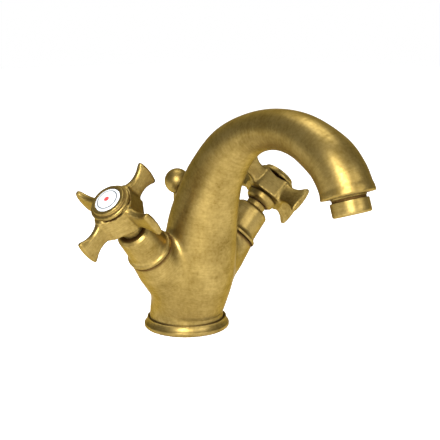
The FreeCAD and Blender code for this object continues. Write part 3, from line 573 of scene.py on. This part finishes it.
# %% Grain, dark joint and painted shade of the casting
def casting_marks(points):
    neck, along = limb(points, NECK)
    around = np.arctan2(points[:, 0], points[:, 2] - 60)
    grain = np.stack([along * 3.0, np.cos(around) * 2, np.sin(around) * 2], axis=1)
    grime = np.clip(1 - (points[:, 2] - LEDGE - 0.6) / 1.6, 0, 1)
    for side in SIDES:
        reach, off = valve_points(points, side)
        on_arm = arm_field(points, side) < neck
        grain[on_arm] = np.stack([reach * 3.0, points[:, 0] * 0.05, points[:, 1] * 0.05], axis=1)[on_arm]
        # Painted shadow of each bonnet's lip: a dark band round the end of the arm.
        under_lip = np.clip((2.4 - (ARM_END - reach)) / 1.4, 0, 1)
        grime = np.maximum(grime, np.where(on_arm & (off > 10), under_lip * 0.9, 0))
    # Painted shade on the outlet's face round the aerator.
    past = (points - OUTLET_MID) @ OUTLET_WAY
    from_axis = np.linalg.norm(points - OUTLET_MID - past[:, None] * OUTLET_WAY, axis=1)
    under = (past > -0.15) & (np.linalg.norm(points - OUTLET_MID, axis=1) < 20)
    grime = np.maximum(grime, np.where(under, np.clip((13.6 - from_axis) / 2.5, 0, 1), 0))
    return grain, grime


low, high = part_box("body_casting")
casting_mesh = field_mesh("casting", casting_field, np.array(low) / MM - 4, np.array(high) / MM + 4,
                          1.6, UPRIGHT, casting_marks)
show("casting", casting_mesh, "faucet_body", AGED_BRASS, "antique_brass", "body_casting")
print("casting:", len(casting_mesh.vertices), "vertices")


# %% [markdown]
# ## Bonnets and collars
#
# A bonnet is a thin brass skirt that covers the valve's head: a flared lip over the arm's end, a
# waist, and a cone up to a small bevel. Above it two collars are stacked with gaps between them:
# a plain narrow ring, then one that swells upwards like a bell, to just under the handle's hub.
# The gaps, the top of the bonnet round the collar and the foot of its lip are painted dark, as
# shade. All are spun on the valve's axis.

# %% Bonnets and collars
BONNET_TOP = 72.4
LIP = ARM_END + 0.4


def bonnet_outline():
    flare = sweep((14.4, LIP + 2.0), (12.6, LIP + 5.0), 4.0, -1)
    return rounded([(6.1, BONNET_TOP - 1.5, 0), (6.1, BONNET_TOP, 0), (9.6, BONNET_TOP, 0.4),
                    (11.5, BONNET_TOP - 1.7, 1.6)] + flare[::-1]
                   + [(14.7, LIP + 1.5, 0.4), (14.7, LIP, 0.45), (12.6, LIP, 0), (12.0, LIP + 3, 0),
                      (9.2, BONNET_TOP - 1.5, 0)])


def collar_outline(low_radius, high_radius, low_end, high_end):
    swell = (high_radius - low_radius) * 0.75
    return rounded([(4.2, high_end, 0), (high_radius, high_end, 0.3), (high_radius, high_end - 0.9, 0.6),
                    (low_radius + swell, low_end + 1.9, 1.2), (low_radius, low_end, 0.5), (4.2, low_end, 0)])


COLLARS = {"bonnet_nut": (6.6, 6.6, 72.5, 76.6), "gland_nut": (7.5, 10.4, 77.1, 82.8)}
for side, place in VALVES.items():
    # Painted shade: the bonnet darkens at its top round the collar and at the foot of its lip.
    bonnet = spun(side + "_bonnet_skirt", bonnet_outline(), place,
                  lambda r, h: float(r < 9.3 and h > BONNET_TOP - 1) + max(0.0, 1 - (h - LIP) / 0.5) * 0.8)
    show(side + "_bonnet_skirt", bonnet, "faucet_body", AGED_BRASS, "antique_brass", side + "_bonnet")
    for node, (low_radius, high_radius, low_end, high_end) in COLLARS.items():
        name = "%s_%s_collar" % (side, node.split("_")[0])
        # Painted shade: each collar darkens towards both ends, into the gaps.
        collar = spun(name, collar_outline(low_radius, high_radius, low_end, high_end), place,
                      lambda r, h, b=low_end, t=high_end: max(0.0, 0.85 - min(h - b, t - h) * 1.1))
        show(name, collar, "faucet_body", AGED_BRASS, "antique_brass", "%s_%s" % (side, node))
print("bonnets and collars on both valves")


# %% [markdown]
# ## Cross handles
#
# A handle is cast in one piece: a hub with four panels that flare a little downwards, and between
# them four arms like fishtails. Seen along the valve each arm is thin and slightly tapered. Seen
# from the side it is tall where it leaves the hub, narrows in a scoop, and flares again to a
# slightly rounded end. The hub's upper edge dips under the cap at each panel. It could be modelled
# face by face, but the soft hollows would then be hard to keep alike. The field is written once for
# an eighth of the cross and used for all of it, by folding space. The hub is closed inside too.

# %% The handle's field
HANDLE_BOTTOM = 81.5
HUB_HEIGHT = 16.1
REACH = 31.8
TIP_HALF, NECK_HALF, FISHTAIL = 12.0, 5.6, 13.0
HUB_SKIRT = 2.0
HUB_PLACES = (2.0, 3.5, 5.5, 7.5, 10, 13, 16.1)
HUB_FACES = (13.9, 13.8, 13.5, 13.1, 12.7, 12.3, 12.1)
FLARE_START = REACH - math.sqrt(2 * FISHTAIL * (TIP_HALF - NECK_HALF) - (TIP_HALF - NECK_HALF) ** 2)
ARM_LEVEL = HUB_HEIGHT / 2 + 0.8


def handle_field(points):
    """Distance to a handle whose axis is Z and whose bottom is at 0."""
    off = np.linalg.norm(points[:, :2], axis=1)
    up = points[:, 2]
    out = np.abs(points[:, :2]).max(1)
    aside = np.abs(points[:, :2]).min(1)
    panel = np.interp(up, HUB_PLACES, HUB_FACES)
    faces = (out + aside) / math.sqrt(2) - panel
    dip = 1.3 * np.clip((aside - 3) / 5, 0, 1)
    hub = soft_cut(off - panel - 1.5, faces, 0.35)
    hub = soft_cut(hub, np.maximum(HUB_SKIRT - up, up - HUB_HEIGHT + dip), 0.6)
    bent = np.clip(out - FLARE_START, 0, FISHTAIL * 0.95)
    rooted = np.clip(FLARE_START - out, 0, 9.5)
    root = rooted ** 2 / 24
    root = np.where(up < ARM_LEVEL, np.minimum(root, ARM_LEVEL - HUB_SKIRT - NECK_HALF), root)
    half = NECK_HALF + FISHTAIL - np.sqrt(FISHTAIL ** 2 - bent ** 2) + root
    level = np.abs(up - ARM_LEVEL)
    hub = soft_cut(hub, level - half - 0.3, 0.6)
    lens = 1 - 0.3 * np.clip(level / half, 0, 1) ** 2
    thick = np.interp(out, (0, 14, 20, REACH), (4.2, 3.1, 2.7, 2.4)) * lens
    bulge = 1.6 * np.clip(level / TIP_HALF, 0, 1) ** 2
    profile = soft_cut(out - REACH + bulge, (level - half) * 0.85, 3.0)
    edges = np.stack([profile, (aside - thick) * 0.95], axis=1) + 1.4
    arm = np.linalg.norm(np.maximum(edges, 0), axis=1) + np.minimum(edges.max(1), 0) - 1.4
    return soft_join(hub, arm, 1.9)


print("an arm starts to flare", round(FLARE_START, 1), "mm out and ends at", REACH, "mm")


def handle_marks(points):
    grain = np.stack([points[:, 2] * 2.0, points[:, 0] * 0.25, points[:, 1] * 0.25], axis=1)
    middle = np.hypot(points[:, 0], points[:, 1])
    # Painted shade: the top of the hub, under the cap, is made dark.
    deep = np.clip((points[:, 2] - HUB_HEIGHT + 1.6) / 0.5, 0, 1) * (middle < 12.1)
    return grain, deep


# %% Cast both handles
for side in SIDES:
    place = valve_frame(side, HANDLE_CLOCK[side]) @ Matrix.Translation((0, 0, HANDLE_BOTTOM * MM))
    mesh = field_mesh(side + "_cross", handle_field, (-34, -34, -3), (34, 34, 21), 0.8, place, handle_marks)
    show(side + "_cross", mesh, side + "_handle_group", AGED_BRASS, "antique_brass", side + "_handle")
    print(side, "handle:", len(mesh.vertices), "vertices")


# %% [markdown]
# ## Index caps and discs
#
# A cap screws into the top of each hub: a flat rim with a soft edge, a thin gap, and a raised
# bead round a white glazed disc. The gap, the underside of the rim and the inside of the cap are
# painted dark, as shade. The disc is slightly domed, so it mirrors the light. It carries only a
# plain ring and a dot of colour, red for hot and blue for cold.

# %% Index caps
CAP_BOTTOM = HANDLE_BOTTOM + HUB_HEIGHT + 0.6
CAP_TOP = CAP_BOTTOM + 4.2
DISC_SEAT = CAP_TOP - 1.05
cap_outline = rounded([
    (0, DISC_SEAT - 1.2, 0), (8.3, DISC_SEAT - 1.2, 0), (8.3, CAP_BOTTOM - 1.2, 0), (8.4, CAP_BOTTOM, 0),
    (12.5, CAP_BOTTOM, 0.5), (12.5, CAP_BOTTOM + 1.9, 1.1), (10.75, CAP_BOTTOM + 2.25, 0.1),
    (10.6, CAP_BOTTOM + 2.2, 0), (10.6, CAP_TOP, 1.3), (8.35, CAP_TOP - 0.05, 0.3), (8.25, DISC_SEAT, 0),
    (0, DISC_SEAT, 0)])


# Painted shade: dark in the thin gap by the bead, under the rim, and all through the inside of the cap.
def cap_painted_shade(radius, height):
    groove = max(0.0, 1 - abs(radius - 10.7) / 0.25) * (height < CAP_BOTTOM + 2.6)
    under = 1.0 if height < CAP_BOTTOM - 0.1 or (height < CAP_BOTTOM + 0.05 and radius < 11.9) else 0.0
    inside = 1.0 if radius < 8.4 else 0.0
    return max(groove * 0.7, under, inside)


for side, place in VALVES.items():
    show(side + "_cap", spun(side + "_cap", cap_outline, place, cap_painted_shade),
         side + "_handle_group", AGED_BRASS, "antique_brass", side + "_index_cap")
print("caps:", round(CAP_TOP - CAP_BOTTOM, 1), "mm high")


# %% [markdown]
# ## The glazed discs
#
# A glazed disc is white, hard and wet-looking. Its marking could be an image, but a ring and a dot
# need only the distance from the middle, which each vertex carries as a mark.

# %% The glazed discs
def glazed(name, dot):
    """White glaze with a thin grey ring and a small dot of colour, drawn by distance from the axis."""
    glaze = Finish(bpy.data.materials.new(name))
    away = glaze.mark("from_middle")
    cloud = glaze.noise(glaze.place(), 300.0)
    white = glaze.mix(cloud, (0.60, 0.63, 0.64), (0.53, 0.57, 0.58))
    ring = 1 - (away - 6.3).size().spread(0.30, 0.50)
    ringed = glaze.mix(ring, white, (0.10, 0.10, 0.11))
    spot = 1 - away.spread(1.5, 1.75)
    return glaze.use(Base_Color=glaze.mix(spot, ringed, dot), Roughness=0.08 + cloud * 0.04, Coat_Weight=0.6)


DOTS = {"hot": (0.45, 0.03, 0.03), "cold": (0.03, 0.08, 0.42)}
disc_outline = rounded([(0, DISC_SEAT + 0.05, 0), (8.0, DISC_SEAT + 0.05, 0), (8.1, DISC_SEAT + 0.8, 0.3)]
                       + sweep((7.9, DISC_SEAT + 0.95), (0, DISC_SEAT + 1.9), 33.0, 1))
for side, place in VALVES.items():
    mesh = spun(side + "_disc", disc_outline, place)
    local = place.inverted()
    radii = [math.hypot(*(local @ vertex.co).xy) / MM for vertex in mesh.vertices]
    mesh.attributes.new("from_middle", "FLOAT", "POINT").data.foreach_set("value", radii)
    show(side + "_disc", mesh, side + "_handle_group", glazed(side + "_glaze", DOTS[side]),
         "white_porcelain", side + "_index_disc")
print("caps and discs on both handles")


# %% [markdown]
# ## The outlet
#
# A short plain neck shows under the rim of the spout, then the aerator's housing, a barrel with a
# rounded lower edge, spun on the outlet's axis. The insert inside it is the engineering model's own
# plain plug. A real one has a fine mesh that breaks up the water, and that isn't modelled.

# %% Aerator
NECK_GAP = 2.5
AERATOR_END = NECK_GAP + 7.8
housing_outline = rounded([
    (8.6, -8.0, 0), (9.9, -8.0, 0), (9.9, 0.9, 0.2), (9.5, 1.1, 0.1), (9.5, NECK_GAP - 0.2, 0.1),
    (10.8, NECK_GAP, 0.35), (10.8, AERATOR_END, 1.5), (7.9, AERATOR_END, 0.3), (7.9, AERATOR_END - 1.2, 0),
    (8.6, AERATOR_END - 1.2, 0)])
# Painted shade: the short neck under the spout's rim is made dark.
housing = spun("aerator_barrel", housing_outline, OUTLET_FRAME,
               lambda r, h: 0.85 if h < NECK_GAP + 0.05 and r < 10.4 and h > 0.95 else 0.0)
show("aerator_barrel", housing, "faucet_body", AGED_BRASS, "antique_brass", "aerator_housing")
print("aerator:", AERATOR_END, "mm below the outlet")


# %% [markdown]
# ## The lift rod and its ball
#
# The ball behind the neck is pulled up to close the waste. It is a plain turned ball on a thin rod,
# spun from a half circle, so its rows of faces run round it as turning marks would. The rod itself
# keeps the engineering model's mesh.

# %% Lift rod and ball
BALL_LOW, BALL_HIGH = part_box("lift_rod_knob")
BALL_MID = (BALL_LOW + BALL_HIGH) / 2
BALL_RADIUS = (BALL_HIGH.x - BALL_LOW.x) / 2 / MM
ROWS = 40
ball_outline = [(BALL_RADIUS * math.sin(math.pi * row / ROWS) * (0 < row < ROWS),
                 -BALL_RADIUS * math.cos(math.pi * row / ROWS)) for row in range(ROWS + 1)]
# Painted shade: the bottom of the ball, round the rod, is made dark.
ball = spun("ball", ball_outline, Matrix.Translation(BALL_MID),
            lambda r, h: 1.0 if h < -BALL_RADIUS + 0.9 else 0.0)
show("ball", ball, "lift_rod_body", AGED_BRASS, "antique_brass", "lift_rod_knob")
print("ball: radius", round(BALL_RADIUS, 2), "mm")


# %% [markdown]
# ## The parts that stay as they are
#
# The lift rod and the face of the aerator's insert show a little. The rest is hidden inside or
# under the deck. All of these keep the engineering model's own meshes and get a fitting finish
# each: aged brass, rubber, moulded plastic, plated steel and bright turned brass.

# %% Plain finishes
def plain_finish(name, light, dark, rough, metal, scale):
    finish = Finish(bpy.data.materials.new(name))
    cloud = finish.noise(finish.place(), scale, detail=4.0)
    return finish.use(Base_Color=finish.mix(cloud.spread(0.35, 0.65), light, dark),
                      Roughness=rough + cloud * 0.12, Metallic=metal)


FINISHES = {
    "antique_brass": aged_brass("aged_brass_plain", brown=0.15),
    "machined_brass": plain_finish("turned_brass", (0.78, 0.62, 0.30), (0.66, 0.50, 0.22), 0.22, 1.0, 260.0),
    "zinc_steel": plain_finish("plated_steel", (0.66, 0.66, 0.64), (0.52, 0.53, 0.54), 0.28, 1.0, 180.0),
    "black_rubber": plain_finish("rubber", (0.030, 0.030, 0.031), (0.018, 0.018, 0.019), 0.62, 0.0, 400.0),
    "white_plastic": plain_finish("moulded_plastic", (0.74, 0.73, 0.69), (0.66, 0.65, 0.61),
                                  0.40, 0.0, 220.0),
}
for part in frame["record"]["subparts"]:
    node = frame["nodes"][part["node"]]
    if not node.hide_render:
        node.data.materials.clear()
        node.data.materials.append(FINISHES[part["material_slot"]])
print("plain finishes:", sorted(FINISHES))


# %% [markdown]
# ## Floor
#
# The faucet stands on a plain pale floor. A lit floor alone comes out grey, and brighter lamps would
# burn out the brass, so the floor also glows a little. Then it is white, and the brass keeps its tone.

# %% Floor
floor_mesh = bpy.data.meshes.new("floor")
floor_mesh.from_pydata([(-3, -3, 0), (3, -3, 0), (3, 3, 0), (-3, 3, 0)], [], [(0, 1, 2, 3)])
floor = bpy.data.objects.new("floor", floor_mesh)
floor_paint = Finish(bpy.data.materials.new("pale_floor"))
floor_cloud = floor_paint.noise(floor_paint.place(), 3.0)
floor_mesh.materials.append(floor_paint.use(
    Base_Color=floor_paint.mix(floor_cloud, (0.95, 0.95, 0.95), (0.93, 0.93, 0.93)), Roughness=0.9,
    Emission_Color=(1.0, 1.0, 1.0), Emission_Strength=0.72))
bpy.context.scene.collection.objects.link(floor)
print("floor:", [round(side, 1) for side in floor.dimensions.xy], "m")


# %% [markdown]
# ## The room
#
# Polished metal shows what it mirrors, so the room matters more than the lamps. It is white straight
# ahead of the camera, behind the faucet, and grey everywhere else. The grey is what gives the brass
# its darker middle tones. It is worked out from the direction in the room, so it stays put in every
# view.

# %% Room
scene = bpy.context.scene
scene.view_settings.view_transform = "Standard"
scene.world = bpy.data.worlds.new("room")
room = Finish(scene.world, "Background")
AHEAD = (0.66, 0.75, 0.0)
toward = {0: room.place("Generated"), 1: AHEAD}
facing = room.node("ShaderNodeVectorMath", {"operation": "DOT_PRODUCT"}, toward, output="Value")
room.use(Color=room.mix(facing.spread(0.44, 0.90), (0.40, 0.40, 0.405), (1.0, 1.0, 1.0)), Strength=1.0)
print("room: white towards", AHEAD)


# %% [markdown]
# ## Lamps
#
# Three soft square lamps stand round the faucet. The small key lamp on the hot side draws the
# highlights, a wider one in front softens the shadows, and a wide one overhead lights the tops.

# %% Lamps
def lamp(name, place, aim, size, power):
    light = bpy.data.lights.new(name, "AREA")
    light.size = size
    light.energy = power
    holder = bpy.data.objects.new(name, light)
    holder.location = place
    holder.rotation_euler = (Vector(aim) - Vector(place)).to_track_quat("-Z", "Y").to_euler()
    scene.collection.objects.link(holder)


lamp("key", (-0.62, -0.58, 0.50), (0, -0.04, 0.07), 0.22, 16.0)
lamp("fill", (0.10, -0.95, 0.50), (0, -0.06, 0.06), 0.35, 4.0)
lamp("top", (0.1, 0.1, 1.0), (0, -0.05, 0.05), 0.5, 5.0)
print("lamps:", [light.name for light in bpy.data.lights])


# %% [markdown]
# ## Camera
#
# The camera stands low on the hot side, about 0.6 m away, and looks a little down at the middle of
# the faucet. The distance sets how much larger the near handle looks than the far one, and the lens
# then sets how much of the view the faucet fills.

# %% Camera
camera_data = bpy.data.cameras.new("camera")
camera_data.lens = 77.5
camera_data.sensor_width = 36.0
camera = bpy.data.objects.new("camera", camera_data)
camera.location = (-0.3788, -0.4542, 0.1940)
aim = Vector((0.0161, -0.0145, 0.0696))
camera.rotation_euler = (aim - camera.location).to_track_quat("-Z", "Y").to_euler()
scene.collection.objects.link(camera)
scene.camera = camera
print("camera:", round((camera.location - aim).length, 3), "m from what it looks at")


# %% [markdown]
